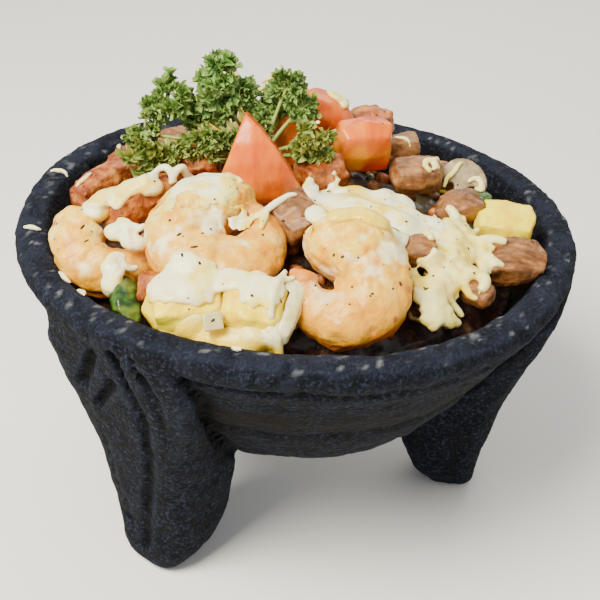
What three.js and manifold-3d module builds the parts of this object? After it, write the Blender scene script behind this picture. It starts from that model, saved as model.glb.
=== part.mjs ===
// A molcajete mixed grill: a three-legged mortar carved from volcanic stone, filled with a heap of
// grilled beef, chicken, prawns, squash, mushroom and pepper under melted cheese, with tomato
// wedges and a curly parsley sprig on top.
//
// Millimetres, +Z up. The origin is on the surface that the three feet stand on, under the centre
// of the rim. The right leg is near +X, the left leg points to the front left.
import * as THREE from "three";
import { mergeVertices } from "three/addons/utils/BufferGeometryUtils.js";
import Module from "manifold-3d";

const wasm = await Module();
wasm.setup();

// ---- driving dimensions ----
const RIM_RADIUS = 117; // outside of the rim
const RIM_HEIGHT = 132; // top of the rim above the table
const BASE_HEIGHT = 46; // underside of the bowl above the table
const FLOOR_HEIGHT = 66; // bottom of the hollow above the table
const MOUTH_RADIUS = 103; // inside of the rim
const BASE_SHIFT = [2, -2]; // the carved underside is a little off the rim's axis
const BOWL_SIDES = 42;

const HEAP_EDGE = 119; // where the heap meets the hollow's wall
const HEAP_TILT = -0.035; // the heap is fuller at the front
const HEAP_RISE = 31; // height of the heap's middle above its edge
const HEAP_RADIUS = 103;
const HEAP_COVER = 8; // how deep the pieces on top lie over the filling
const HEAP_DIP = 13; // the heap stops short of the wall at the back right by this much
const HEAP_DIP_ANGLE = 42; // degrees
const GAP = 0.3; // clearance between touching solids

const rad = (degrees) => (degrees * Math.PI) / 180;

// ---- small tools ----

// A repeatable number from -1 to 1 for a place, smooth over a few units of its arguments.
function ripple(x, y, z, seed) {
  const a = Math.sin(x * 1.31 + y * 0.73 + z * 1.07 + seed * 2.3);
  const b = Math.sin(x * 0.57 - y * 1.63 + z * 0.89 + seed * 5.1);
  const c = Math.sin(x * 1.09 + y * 0.47 - z * 1.51 + seed * 3.7);
  return (a + b + c) / 3;
}

// Linear reading of y at x from a list of [x, y] points.
function along(points, x) {
  for (let i = 1; i < points.length; i++) {
    const [x0, y0] = points[i - 1];
    const [x1, y1] = points[i];
    if (x <= x1) return y0 + ((y1 - y0) * Math.max(0, x - x0)) / (x1 - x0);
  }
  return points[points.length - 1][1];
}

// Moves each vertex of a geometry to where `place` puts it.
function formed(geometry, place) {
  const at = geometry.getAttribute("position");
  const v = new THREE.Vector3();
  for (let i = 0; i < at.count; i++) {
    v.fromBufferAttribute(at, i);
    place(v);
    at.setXYZ(i, v.x, v.y, v.z);
  }
  return geometry;
}

// A closed three.js geometry as a manifold-3d solid.
function solidOf(geometry) {
  const bare = geometry.clone();
  bare.deleteAttribute("normal");
  bare.deleteAttribute("uv");
  const merged = mergeVertices(bare, 1e-3);
  return new wasm.Manifold(
    new wasm.Mesh({
      numProp: 3,
      vertProperties: new Float32Array(merged.attributes.position.array),
      triVerts: new Uint32Array(merged.index.array),
    }),
  );
}

// A manifold-3d solid as a three.js geometry.
function geometryOf(solid) {
  const mesh = solid.getMesh();
  const n = mesh.numProp;
  const points = new Float32Array(mesh.numVert * 3);
  for (let i = 0; i < mesh.numVert; i++) {
    points.set(mesh.vertProperties.subarray(i * n, i * n + 3), i * 3);
  }
  const geometry = new THREE.BufferGeometry();
  geometry.setAttribute("position", new THREE.BufferAttribute(points, 3));
  geometry.setIndex(new THREE.BufferAttribute(new Uint32Array(mesh.triVerts), 1));
  return geometry;
}

// The biggest of the bodies that a cut leaves.
function largest(solid) {
  const bodies = solid.decompose();
  bodies.sort((a, b) => b.volume() - a.volume());
  return bodies[0];
}

// The same solid with every face moved outwards, for cutting its neighbours clear of it. Each
// corner moves to where the moved faces round it meet.
function grown(solid, by) {
  const geometry = geometryOf(solid);
  const at = geometry.getAttribute("position");
  const corners = geometry.index.array;
  const facing = Array.from({ length: at.count }, () => []);
  const face = new THREE.Triangle();
  for (let i = 0; i < corners.length; i += 3) {
    face.setFromAttributeAndIndices(at, corners[i], corners[i + 1], corners[i + 2]);
    if (face.getArea() < 1e-4) continue;
    const normal = face.getNormal(new THREE.Vector3());
    for (let k = 0; k < 3; k++) facing[corners[i + k]].push(normal);
  }
  facing.forEach((normals, i) => {
    const sum = new THREE.Vector3();
    const cross = new Array(9).fill(0);
    for (const normal of normals) {
      const n = normal.toArray();
      sum.addScaledVector(normal, by);
      for (let k = 0; k < 9; k++) cross[k] += n[Math.floor(k / 3)] * n[k % 3];
    }
    for (const k of [0, 4, 8]) cross[k] += 0.02 * normals.length;
    const step = sum.applyMatrix3(new THREE.Matrix3().set(...cross).invert());
    step.clampLength(0, 3 * by);
    at.setXYZ(i, at.getX(i) + step.x, at.getY(i) + step.y, at.getZ(i) + step.z);
  });
  return solidOf(geometry);
}

// Several solids as one.
const joined = (solids) => solids.reduce((all, one) => all.add(one));

// ---- the stone mortar ----

// Outside of the bowl from the middle of its underside to the rim, as [radius, height].
const OUTSIDE = [
  [0, BASE_HEIGHT],
  [40, BASE_HEIGHT],
  [58, 50],
  [73, 61],
  [85, 76],
  [89, 82.5],
  [89, 84.5],
  [99, 97],
  [107, 110],
  [112, 116.5],
  [111.5, 119],
  [115, 121.5],
  [RIM_RADIUS, 126],
  [115.5, 130.5],
  [110, RIM_HEIGHT],
];
// The hollow, from the rim down to the middle of its floor.
const INSIDE = [
  [105, 131.3],
  [MOUTH_RADIUS, 128],
  [99, 120],
  [93.5, 110],
  [84, 98],
  [70, 85],
  [50, 74],
  [26, 68],
  [0, FLOOR_HEIGHT],
];
const wallRadius = (z) =>
  along(INSIDE.map(([r, h]) => [h, r]).reverse(), z);

// Hand carving: the outline wavers, and the underside leans off the rim's axis.
function carved(v) {
  const angle = Math.atan2(v.y, v.x);
  const down = Math.max(0, (RIM_HEIGHT - v.z) / (RIM_HEIGHT - BASE_HEIGHT));
  const waver = 1 + 0.006 * Math.sin(5 * angle + 1) * (1 - down);
  v.x = v.x * waver + BASE_SHIFT[0] * down;
  v.y = v.y * waver + BASE_SHIFT[1] * down;
  if (v.z > 100) v.z += 0.9 * Math.sin(3 * angle + 0.6) * (1 - down);
}

function bowlSolid() {
  const profile = [...OUTSIDE, ...INSIDE].map(([r, z]) => new THREE.Vector2(r, z));
  const turned = new THREE.LatheGeometry(profile, BOWL_SIDES).rotateX(rad(90));
  return solidOf(formed(turned, carved));
}

// Each leg is a wedge that grows out of the wall, from a small foot up to the rim.
const LEGS = [
  { angle: 234, reach: 3 },
  { angle: 357.5, reach: -2 },
  { angle: 117.3, reach: 0 },
];
// Height, radius of the outer face, radius of the inner face, half width.
const LEG_FORM = [
  { z: 0, outer: 88, inner: 77, half: 7 },
  { z: 2.5, outer: 92, inner: 70, half: 13 },
  { z: 10, outer: 93, inner: 62, half: 18 },
  { z: 24, outer: 94, inner: 55, half: 21 },
  { z: 50, outer: 99, inner: 53, half: 24 },
  { z: 70, outer: 103.5, inner: 74, half: 28 },
  { z: 88, outer: 107.5, inner: 89, half: 33 },
  { z: 108, outer: 112, inner: 99, half: 37 },
  { z: 122, outer: 115, inner: 106, half: 32 },
  { z: 130.5, outer: 114, inner: 108, half: 20 },
];
const LEG_SIDES = 14;
const LEG_SQUARENESS = 0.62; // 1 is a plain ellipse in plan, less is squarer

const legReach = (leg, z) => leg.reach * Math.max(0, 1 - z / 110);
const legFace = (leg, z) =>
  along(LEG_FORM.map((s) => [s.z, s.outer]), z) + legReach(leg, z);

function legSolid(leg) {
  const rings = LEG_FORM.length - 1;
  const tube = new THREE.CylinderGeometry(1, 1, rings, LEG_SIDES, rings);
  const level = (v) => LEG_FORM[Math.round(v.y + rings / 2)];
  const power = (c) => Math.sign(c) * Math.abs(c) ** LEG_SQUARENESS;
  formed(tube, (v) => {
    const s = level(v);
    const reach = legReach(leg, s.z);
    const middle = (s.outer + s.inner) / 2 + reach;
    const deep = (s.outer - s.inner) / 2;
    const radius = Math.hypot(v.x, v.z);
    const c = radius ? v.x / radius : 0;
    const n = radius ? v.z / radius : 0;
    v.set(middle + deep * power(c) * radius, -s.half * power(n) * radius, s.z);
  });
  return solidOf(tube.rotateZ(rad(leg.angle)));
}

// Carved strokes on a leg's face, each a run of [across, height] points: a forked head near the
// rim, and long flutes that gather towards the foot.
const STROKES = [
  [[12, 126], [20, 112], [26, 94], [18, 48], [11, 18]],
  [[4, 123], [14, 90], [5, 38], [0, 10]],
  [[-14, 73], [-9, 38], [-6, 10]],
  [[-22, 60], [-17, 12]],
  [[-5, 118], [-19, 93]],
  [[3, 107], [-12, 86]],
];
const STROKE_DEPTH = 2.3;
const STROKE_WIDTH = 4.4;

function strokeSolid(leg, points) {
  const path = new THREE.CatmullRomCurve3(
    points.map(([across, z]) => new THREE.Vector3(legFace(leg, z), across, z)),
  );
  const section = new THREE.Shape([
    new THREE.Vector2(-STROKE_DEPTH, 0),
    new THREE.Vector2(STROKE_DEPTH, STROKE_WIDTH),
    new THREE.Vector2(STROKE_DEPTH, -STROKE_WIDTH),
  ]);
  const groove = new THREE.ExtrudeGeometry(section, { steps: points.length, extrudePath: path });
  return solidOf(groove.rotateZ(rad(leg.angle)));
}

function stoneSolid() {
  let stone = bowlSolid();
  // What would stand inside the hollow is left out of the legs' tops.
  for (const leg of LEGS) stone = stone.add(legSolid(leg));
  for (const leg of LEGS) {
    for (const points of STROKES) stone = stone.subtract(strokeSolid(leg, points));
  }
  return largest(stone);
}

// ---- the heap ----

const heapReach = (angle) =>
  HEAP_RADIUS - HEAP_DIP * Math.max(0, Math.cos(angle - rad(HEAP_DIP_ANGLE))) ** 3;

// Height of the heap's top at a place.
function heapTop(x, y) {
  const share = Math.hypot(x, y) / heapReach(Math.atan2(y, x));
  return HEAP_EDGE + HEAP_TILT * y + HEAP_RISE * Math.max(0, 1 - share * share) ** 0.8;
}

const HEAP_RINGS = 5;
function fillingSolid() {
  const floor = INSIDE.filter(([, z]) => z < HEAP_EDGE - 8).reverse();
  const profile = floor.map(([r, z]) => new THREE.Vector2(Math.max(0, r - GAP), z + GAP));
  for (let i = 0; i <= HEAP_RINGS; i++) {
    profile.push(new THREE.Vector2(HEAP_RADIUS * (1 - i / HEAP_RINGS), HEAP_EDGE));
  }
  const turned = new THREE.LatheGeometry(profile, BOWL_SIDES).rotateX(rad(90));
  formed(turned, (v) => {
    if (v.z < HEAP_EDGE) return carved(v);
    const angle = Math.atan2(v.y, v.x);
    const edge = Math.hypot(v.x, v.y) > HEAP_RADIUS - 1;
    const shrink = (heapReach(angle) - (edge ? 8 : 0)) / HEAP_RADIUS;
    v.x *= shrink;
    v.y *= shrink;
    const lumps = 2.2 * ripple(v.x / 9, v.y / 9, 0, 1);
    v.z = edge ? HEAP_EDGE - 7 : heapTop(v.x, v.y) - HEAP_COVER + lumps;
  });
  return solidOf(turned);
}

// ---- pieces of food, each made around its own centre ----

// A straight rod between two points.
function rod(from, to, radius) {
  const section = new THREE.Shape();
  section.absarc(0, 0, radius, 0, 2 * Math.PI);
  const path = new THREE.LineCurve3(new THREE.Vector3(...from), new THREE.Vector3(...to));
  return solidOf(
    new THREE.ExtrudeGeometry(section, { steps: 1, curveSegments: 2, extrudePath: path }),
  );
}

// An irregular cut block: bluntness 2 is an egg, 6 is a crisp dice.
function chunk(length, width, height, bluntness, seed, cuts = 2) {
  const block = new THREE.BoxGeometry(2, 2, 2, cuts, cuts, cuts);
  return formed(block, (v) => {
    const size =
      (Math.abs(v.x) ** bluntness + Math.abs(v.y) ** bluntness + Math.abs(v.z) ** bluntness) **
      (1 / bluntness);
    const waver = 1 + 0.13 * ripple(v.x * 2, v.y * 2, v.z * 2, seed);
    v.multiplyScalar(waver / size);
    v.multiply(new THREE.Vector3(length / 2, width / 2, height / 2));
  });
}

// A long strip, bent in the plane of its length and height.
function strip(length, width, height, bend, seed) {
  const block = new THREE.BoxGeometry(2, 2, 2, 6, 2, 2);
  return formed(block, (v) => {
    const size = (Math.abs(v.x) ** 4 + Math.abs(v.y) ** 4 + Math.abs(v.z) ** 4) ** 0.25;
    const waver = 1 + 0.1 * ripple(v.x * 4, v.y * 2, v.z * 2, seed);
    v.multiplyScalar(waver / size);
    v.set((v.x * length) / 2, (v.y * width) / 2, (v.z * height) / 2);
    v.z -= bend * (v.x / (length / 2)) ** 2;
  });
}

// A peeled prawn curled flat: a body that tapers along a tightening arc, with a tail end.
const PRAWN_RINGS = 11;
const PRAWN_SIDES = 8;
function prawn(across, thick, turnDegrees, seed) {
  const tube = new THREE.CylinderGeometry(1, 1, PRAWN_RINGS, PRAWN_SIDES, PRAWN_RINGS);
  const turn = rad(turnDegrees);
  return formed(tube, (v) => {
    const t = Math.min(1, Math.max(0, v.y / PRAWN_RINGS + 0.5));
    const angle = t * turn;
    const body = (thick / 2) * along(
      [[0, 0.45], [0.07, 0.85], [0.2, 1], [0.55, 0.9], [0.8, 0.6], [0.93, 0.32], [1, 0.42]],
      t,
    );
    const ring = (across / 2 - thick / 2) * (1 - 0.3 * (1 - t) ** 2);
    const swell = body * (1 + 0.05 * Math.sin(t * 38 + seed));
    const out = ring + v.x * swell;
    v.set(Math.cos(angle) * out, Math.sin(angle) * out, v.z * swell * 0.85);
  });
}

// A wedge of tomato: a thick piece of a round wall, cut to a pointed outline.
const TOMATO_RADIUS = 34;
function tomato(wide, tall, wall) {
  const sphere = (r) => solidOf(new THREE.SphereGeometry(r, 20, 14));
  const outline = new THREE.Shape();
  outline.moveTo(-wide / 2, -tall * 0.42);
  outline.lineTo(0, -tall * 0.5);
  outline.lineTo(wide / 2, -tall * 0.36);
  outline.quadraticCurveTo(wide * 0.28, tall * 0.22, -wide * 0.06, tall / 2);
  outline.closePath();
  const knife = new THREE.ExtrudeGeometry(outline, {
    depth: 60,
    bevelEnabled: false,
    curveSegments: 4,
  });
  const piece = solidOf(knife)
    .intersect(sphere(TOMATO_RADIUS))
    .subtract(sphere(TOMATO_RADIUS - wall));
  return geometryOf(piece).translate(0, 0, -TOMATO_RADIUS + wall / 2);
}

// A slice through a mushroom: the cap's arc over a short stem.
function mushroom(wide, thick) {
  const half = wide / 2;
  const outline = new THREE.Shape();
  outline.moveTo(-half * 0.28, -half * 0.85);
  outline.lineTo(half * 0.28, -half * 0.85);
  outline.lineTo(half * 0.3, -half * 0.1);
  outline.lineTo(half * 0.95, -half * 0.15);
  outline.absarc(0, -half * 0.05, half, 0, Math.PI, false);
  outline.lineTo(-half * 0.3, -half * 0.1);
  outline.closePath();
  return new THREE.ExtrudeGeometry(outline, {
    depth: thick,
    bevelEnabled: false,
    curveSegments: 5,
  }).translate(0, 0, -thick / 2);
}

// Melted cheese: puddles that lie on the heap, joined by thick runs. Given as a list of solids.
function cheese(pools, runs) {
  const melt = pools.map(([x, y, wide, deep]) => {
    const pool = chunk(2, 2, 2, 2, x + y);
    formed(pool, (v) => {
      const waver = 1 + 0.15 * ripple(v.x * 3, v.y * 3, v.z, x - y);
      const px = x + (v.x * wide * waver) / 2;
      const py = y + (v.y * deep * waver) / 2;
      v.set(px, py, heapTop(px, py) - 1 + v.z * 4.5);
    });
    return solidOf(pool);
  });
  for (const [x0, y0, x1, y1, thick] of runs) {
    melt.push(
      rod([x0, y0, heapTop(x0, y0)], [x1, y1, heapTop(x1, y1)], thick / 2),
    );
  }
  return melt;
}

// A sprig of curly parsley: stems that fan out from one point, each with a ruffled head. Given as
// a list of solids.
function parsley(heads, root) {
  return heads.flatMap(([x, y, z, size]) => {
    const head = chunk(size, size, size, 2, x).translate(x, y, z);
    return [solidOf(head), rod(root, [x, y, z], 1.3)];
  });
}

const COLOURS = {
  stone: 0x2e3038,
  beef: 0x8a5a3c,
  chicken: 0xa9583a,
  prawn: 0xe9c9a0,
  squash: 0xf0dc6e,
  pepper: 0x3f5f2c,
  mushroom: 0x8f7a5e,
  onion: 0xd9cf9a,
  cheese: 0xf3efcb,
  tomato: 0xdf7c48,
  parsley: 0x4f7a38,
  filling: 0x5a3c2a,
};

// Where each piece lies: x, y and how far its centre is above the heap's top, then its turns about
// X, Y and Z in degrees. The list runs from the top of the heap down: a piece is cut where one
// above it presses into it.
const PIECES = [
  ["tomato_front", "tomato", tomato(37, 38, 8), [-18, -21, 15], [76, 0, 6]],
  ["tomato_back", "tomato", strip(38, 18, 15, 8, 11), [14, 32, 16], [0, 50, 0]],
  ["tomato_right", "tomato", chunk(27, 17, 25, 3.4, 6), [26, 16, 11], [18, 4, 16]],
  ["tomato_under_parsley", "tomato", tomato(28, 26, 8), [-6, 20, 9], [58, 0, 20]],
  ["prawn_front", "prawn", prawn(59, 28, 292, 1), [16, -75, 4], [219, 0, -150]],
  ["prawn_middle", "prawn", prawn(64, 30, 300, 2), [-26, -55, 3], [22, 0, 42]],
  ["prawn_left", "prawn", prawn(52, 21, 232, 3), [-72, -41, 4], [36, 0, 136]],
  ["prawn_back", "prawn", prawn(56, 24, 290, 4), [-20, 62, 5], [-38, 0, 20]],
  ["beef_right", "beef", chunk(29, 20, 17, 4, 1), [86, -33, 4], [24, 8, 8]],
  ["beef_right_small", "beef", chunk(16, 11, 10, 3, 2), [69, -59, 3], [20, 0, -30]],
  ["beef_middle", "beef", chunk(21, 20, 18, 3.5, 3), [0, -42, 4], [30, 0, 40]],
  ["beef_centre", "beef", chunk(15, 13, 13, 4, 4), [47, -49, 3], [20, 0, 10]],
  ["beef_centre_strip", "beef", chunk(15, 10, 11, 3, 5), [34, -50, 3], [20, 0, -12]],
  ["beef_upper", "beef", chunk(25, 18, 14, 3, 6), [50, 15, 4], [14, 0, 12]],
  ["beef_upper_right", "beef", chunk(18, 13, 12, 3, 7), [63, 26, 6], [10, 0, -18]],
  ["beef_far_right", "beef", chunk(22, 15, 13, 3, 8), [67, -7, 4], [16, 0, 22]],
  ["beef_ridge", "beef", chunk(17, 15, 15, 3, 9), [45, 38, 9], [0, 0, 10]],
  ["beef_back_left", "beef", chunk(24, 18, 15, 3.5, 10), [-54, 54, 3], [-18, 0, 50]],
  ["beef_back_middle", "beef", chunk(23, 18, 15, 3.5, 11), [12, 76, 3], [-20, 0, 15]],
  ["beef_back_right", "beef", chunk(26, 18, 15, 3.5, 12), [36, 66, 3], [-20, 0, -30]],
  ["chicken_left", "chicken", strip(36, 14, 13, 3, 1), [-82, 6, 5], [0, -14, 50]],
  ["chicken_cross", "chicken", strip(38, 14, 14, 3, 2), [-60, -27, 8], [0, -12, 38]],
  ["chicken_upper", "chicken", chunk(19, 15, 15, 4, 3), [-41, -2, 5], [20, 0, 5]],
  ["chicken_upper_left", "chicken", chunk(18, 15, 13, 4, 4), [-58, 8, 4], [10, 0, 20]],
  ["chicken_low", "chicken", chunk(16, 15, 14, 3, 5), [-49, -72, 2], [10, 0, 0]],
  ["chicken_ridge", "chicken", chunk(23, 19, 18, 3, 6), [30, 45, 14], [0, 0, -10]],
  ["chicken_top", "chicken", chunk(24, 18, 14, 3, 7), [9, -3, 3], [10, 0, 30]],
  ["chicken_back_left", "chicken", strip(38, 15, 13, 3, 8), [-74, 38, 3], [-8, 0, 70]],
  ["chicken_back", "chicken", strip(38, 15, 13, 3, 9), [-22, 86, 2], [-12, 0, 10]],
  ["squash_right", "squash", chunk(26, 18, 14, 5, 1), [85, -11, 8], [22, 0, -4]],
  ["squash_front", "squash", chunk(32, 24, 20, 2.8, 2), [-38, -82, 4], [26, 0, 12]],
  ["squash_front_right", "squash", chunk(28, 22, 19, 2.8, 3), [-13, -86, 4], [26, 0, -16]],
  ["squash_back", "squash", chunk(26, 20, 15, 4, 4), [-50, 76, 2], [-20, 0, 40]],
  ["squash_back_right", "squash", chunk(25, 18, 15, 4, 5), [60, 50, 1], [-20, 0, 60]],
  ["pepper_left", "pepper", strip(32, 11, 9, 4, 1), [-62, -71, 3], [0, 14, 108]],
  ["pepper_right", "pepper", strip(14, 8, 7, 1, 2), [77, 12, 6], [0, 0, -20]],
  ["pepper_back", "pepper", strip(32, 10, 9, 4, 3), [6, 93, 1], [0, 0, 170]],
  ["mushroom_right", "mushroom", mushroom(22, 7), [70, 20, 7], [50, 0, -6]],
  ["mushroom_back", "mushroom", mushroom(26, 7), [-2, 48, 6], [-50, 0, 12]],
  ["onion_front", "onion", strip(34, 10, 8, 4, 1), [-1, -86, 6], [24, 6, 76]],
  [
    "cheese_middle",
    "cheese",
    cheese(
      [[20, -30, 38, 24], [42, -34, 32, 26], [34, -14, 30, 18]],
      [[20, -30, 42, -34, 12], [20, -30, 4, -30, 6]],
    ),
    null,
  ],
  [
    "cheese_right",
    "cheese",
    cheese(
      [[64, -30, 30, 26], [60, -52, 30, 22], [50, -72, 26, 20]],
      [[64, -30, 60, -52, 12], [60, -52, 50, -72, 10]],
    ),
    null,
  ],
  [
    "cheese_back",
    "cheese",
    cheese([[-32, 30, 38, 26], [-8, 38, 28, 22]], [[-32, 30, -8, 38, 10]]),
    null,
  ],
];

// The parsley stands on the heap behind the front tomato wedge.
const PARSLEY_ROOT = [-16, 0, 158];
const PARSLEY_HEADS = [
  [-61, -4, 159, 21],
  [-51, 8, 178, 20],
  [-32, 7, 188, 22],
  [-7, 10, 185, 20],
  [4, -3, 171, 20],
  [-38, -5, 170, 19],
  [-18, 4, 175, 17],
  [-34, 24, 174, 20],
  [-10, 26, 173, 19],
];

// Whether the boxes round two solids meet.
function touching(one, other) {
  const a = one.boundingBox();
  const b = other.boundingBox();
  return [0, 1, 2].every((i) => a.min[i] < b.max[i] && b.min[i] < a.max[i]);
}

// Each piece is given as the plain solids it is made of; what lies above it is cut away.
const made = [];
function settle(name, slot, bodies) {
  const whole = joined(bodies);
  let free = whole;
  for (const above of made) {
    if (touching(above.cutter, whole)) free = free.subtract(above.cutter);
  }
  const cutter = joined(bodies.map((body) => grown(body, GAP)));
  made.push({ name, slot, solid: largest(free), cutter });
}

settle("molcajete", "stone", [stoneSolid()]);
settle("parsley_sprig", "parsley", parsley(PARSLEY_HEADS, PARSLEY_ROOT));
for (const [name, slot, form, at, turn] of PIECES) {
  if (at) {
    const [x, y, lift] = at;
    const spin = new THREE.Euler(...turn.map(rad), "XYZ");
    form.applyMatrix4(new THREE.Matrix4().makeRotationFromEuler(spin));
    form.translate(x, y, heapTop(x, y) + lift);
  }
  settle(name, slot, at ? [solidOf(form)] : form);
}
settle("filling", "filling", [fillingSolid()]);

const dish = new THREE.Group();
for (const { name, slot, solid } of made) {
  const look = new THREE.MeshStandardMaterial({
    color: COLOURS[slot],
    roughness: slot === "stone" ? 0.95 : 0.5,
    metalness: 0,
  });
  const mesh = new THREE.Mesh(geometryOf(solid), look);
  mesh.name = name;
  dish.add(mesh);
}

export default dish;
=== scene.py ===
"""Molcajete mixed grill: looks for a stone mortar heaped with grilled food, built round its frame.

Each operator makes one kind of piece and can be run again from the sidebar. Lengths in the code are
in metres unless a name says otherwise; MM turns millimetres into metres.
"""

import itertools
import math

import bmesh
import bpy
import numpy as np
from mathutils import Euler, Matrix, Vector
from mathutils.bvhtree import BVHTree
from mathutils.kdtree import KDTree


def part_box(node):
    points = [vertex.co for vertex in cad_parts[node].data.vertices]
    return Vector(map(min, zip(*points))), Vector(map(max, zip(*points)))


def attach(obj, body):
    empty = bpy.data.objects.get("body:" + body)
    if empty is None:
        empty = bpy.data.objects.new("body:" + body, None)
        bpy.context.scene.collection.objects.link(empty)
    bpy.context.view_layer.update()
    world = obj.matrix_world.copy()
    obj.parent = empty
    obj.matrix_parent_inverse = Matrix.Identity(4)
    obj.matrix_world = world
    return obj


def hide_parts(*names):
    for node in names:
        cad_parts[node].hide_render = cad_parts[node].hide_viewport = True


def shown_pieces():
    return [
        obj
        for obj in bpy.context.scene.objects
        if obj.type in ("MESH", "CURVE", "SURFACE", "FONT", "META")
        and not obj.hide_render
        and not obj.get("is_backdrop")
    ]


bl_info = {
    "name": "Molcajete mixed grill",
    "version": (1, 0, 0),
    "blender": (4, 5, 0),
    "location": "View3D > Sidebar > Mixed grill",
    "description": "Builds a carved stone mortar heaped with grilled food, piece by piece",
    "category": "Add Mesh",
}

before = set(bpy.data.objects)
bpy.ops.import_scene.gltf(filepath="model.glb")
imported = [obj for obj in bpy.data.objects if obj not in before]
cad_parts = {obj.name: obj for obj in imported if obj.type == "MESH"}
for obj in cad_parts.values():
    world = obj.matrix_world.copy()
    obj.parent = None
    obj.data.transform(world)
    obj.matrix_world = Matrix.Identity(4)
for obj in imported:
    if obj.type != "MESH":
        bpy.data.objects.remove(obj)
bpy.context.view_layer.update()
MM = 0.001
BODY = "root"
# Height that things are let fall from, above the whole dish.
FALL_FROM = 0.3


# ---- colour and noise ----


def linear(hex_colour):
    """A six-figure sRGB hex colour as linear RGBA."""
    channels = [int(hex_colour[i : i + 2], 16) / 255 for i in (1, 3, 5)]
    bent = [c / 12.92 if c <= 0.04045 else ((c + 0.055) / 1.055) ** 2.4 for c in channels]
    return (*bent, 1.0)


def noise(points, size, seed):
    """Smooth noise from -1 to 1 whose features are about one size across."""
    place = points / size
    cell = np.floor(place).astype(np.int64)
    part = place - cell
    part = part * part * (3 - 2 * part)
    total = np.zeros(len(points))
    for corner in itertools.product((0, 1), repeat=3):
        key = (cell + corner) * (73856093, 19349663, 83492791)
        mixed = (key[:, 0] ^ key[:, 1] ^ key[:, 2] ^ (seed * 2654435761)) & 0xFFFFFFFF
        mixed = ((mixed ^ (mixed >> 15)) * 2246822519) & 0xFFFFFFFF
        mixed = ((mixed ^ (mixed >> 13)) * 3266489917) & 0xFFFFFFFF
        share = np.where(corner, part, 1 - part).prod(axis=1)
        total += share * ((mixed ^ (mixed >> 16)) / 2**31 - 1)
    return total


def layered(points, size, seed, layers=3):
    """Noise with finer noise over it, each layer half the size and half the strength."""
    total = np.zeros(len(points))
    for layer in range(layers):
        total += noise(points, size / 2**layer, seed + layer) / 2**layer
    return total / (2 - 2.0 ** (1 - layers))


def ramp(values, low, high):
    """0 below low, 1 above high and a soft step between; low may be above high."""
    share = np.clip((values - low) / (high - low), 0, 1)
    return share * share * (3 - 2 * share)


# ---- meshes ----


def points_of(mesh):
    found = np.empty(len(mesh.vertices) * 3)
    mesh.vertices.foreach_get("co", found)
    return found.reshape(-1, 3)


def normals_of(mesh):
    found = np.empty(len(mesh.vertices) * 3)
    mesh.vertex_normals.foreach_get("vector", found)
    return found.reshape(-1, 3)


def set_points(mesh, points):
    mesh.vertices.foreach_set("co", np.ascontiguousarray(points, dtype=np.float32).ravel())
    mesh.update()


def push(mesh, rise):
    """Moves each corner out along its normal, and gives the new places."""
    points = points_of(mesh) + normals_of(mesh) * rise[:, None]
    set_points(mesh, points)
    return points


def averaged(mesh, values, rounds):
    """Values at the corners, each averaged with its neighbours' some rounds over."""
    ends = np.empty(len(mesh.edges) * 2, dtype=np.int64)
    mesh.edges.foreach_get("vertices", ends)
    a, b = ends.reshape(-1, 2).T
    count = np.bincount(ends, minlength=len(mesh.vertices))
    flat = values.reshape(len(mesh.vertices), -1).astype(float)
    for _ in range(rounds):
        total = np.empty_like(flat)
        for k in range(flat.shape[1]):
            total[:, k] = np.bincount(a, flat[b, k], len(flat))
            total[:, k] += np.bincount(b, flat[a, k], len(flat))
        flat = (flat + total / count[:, None]) / 2
    return flat.reshape(values.shape)


def hump(mesh, points, out, rounds):
    """How far each corner stands above its surroundings; below zero in a hollow."""
    return ((points - averaged(mesh, points, rounds)) * out).sum(axis=1)


def even_skin(mesh, voxel, rounds):
    """The same surface as even small faces, with its edges softened by some rounds."""
    helper = bpy.data.objects.new("helper", mesh)
    bpy.context.scene.collection.objects.link(helper)
    grid = helper.modifiers.new("even skin", "REMESH")
    grid.mode = "VOXEL"
    grid.voxel_size = voxel
    soft = helper.modifiers.new("soft edges", "SMOOTH")
    soft.iterations = rounds
    soft.factor = 0.5
    graph = bpy.context.evaluated_depsgraph_get()
    skin = bpy.data.meshes.new_from_object(helper.evaluated_get(graph))
    bpy.data.objects.remove(helper)
    skin.materials.clear()
    return skin


def nearest(points, others):
    """For each point, which of the others is nearest."""
    tree = KDTree(len(others))
    for i, other in enumerate(others):
        tree.insert(other, i)
    tree.balance()
    return np.array([tree.find(p)[1] for p in points])


def mesh_from(name, points, faces):
    made = bpy.data.meshes.new(name)
    made.from_pydata([tuple(p) for p in points], [], [tuple(f) for f in faces])
    made.update()
    return made


def joined(parts):
    """Several (points, faces) pairs as one pair."""
    points, faces, start = [], [], 0
    for part_points, part_faces in parts:
        points.append(part_points)
        faces.extend([tuple(i + start for i in f) for f in part_faces])
        start += len(part_points)
    return np.concatenate(points), faces


def tube(path, radii, sides=8):
    """A closed tube along a path, with one radius for each point of the path."""
    path = np.asarray(path, float)
    ahead = np.gradient(path, axis=0)
    ahead /= np.linalg.norm(ahead, axis=1)[:, None] + 1e-12
    side = np.cross(ahead, (0.02, 0.03, 1.0))
    side /= np.linalg.norm(side, axis=1)[:, None] + 1e-12
    up = np.cross(side, ahead)
    angle = np.linspace(0, 2 * math.pi, sides, endpoint=False)
    ring = side[:, None] * np.cos(angle)[:, None] + up[:, None] * np.sin(angle)[:, None]
    points = path[:, None] + ring * np.asarray(radii)[:, None, None]
    n = len(path)
    faces = grid_faces(n, sides, True)
    faces.append(tuple(range(sides))[::-1])
    faces.append(tuple((n - 1) * sides + k for k in range(sides)))
    return points.reshape(-1, 3), faces


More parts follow.
